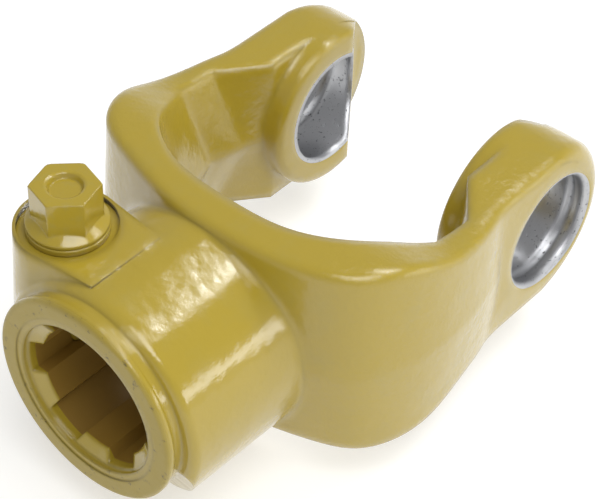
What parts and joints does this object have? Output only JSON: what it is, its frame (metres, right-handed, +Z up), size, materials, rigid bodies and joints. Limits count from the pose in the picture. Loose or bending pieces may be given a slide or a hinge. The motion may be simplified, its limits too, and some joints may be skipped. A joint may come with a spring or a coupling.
{
  "type": "forged yoke",
  "caption": "Forged steel end yoke with a splined hub, a clamp bolt boss at its side and a U-shaped fork whose bored ears take a universal joint cross.",
  "frame": {"origin": "where the hub axis crosses the common axis of the two ear bores", "axes": "+X along the hub axis from the hub to the ear tips, +Y along the ear bores towards the side of the bolt boss, +Z up, the head of the locking bolt on top"},
  "size_m": [0.1266, 0.0883, 0.0705],
  "materials": {
    "forging": "glossy mustard yellow paint, ear bores bare machined steel",
    "fastener": "glossy mustard yellow paint"
  },
  "bodies": {
    "root": {"yoke": "forging", "bolt": "fastener", "washer": "fastener", "nut": "fastener"}
  },
  "joints": []
}
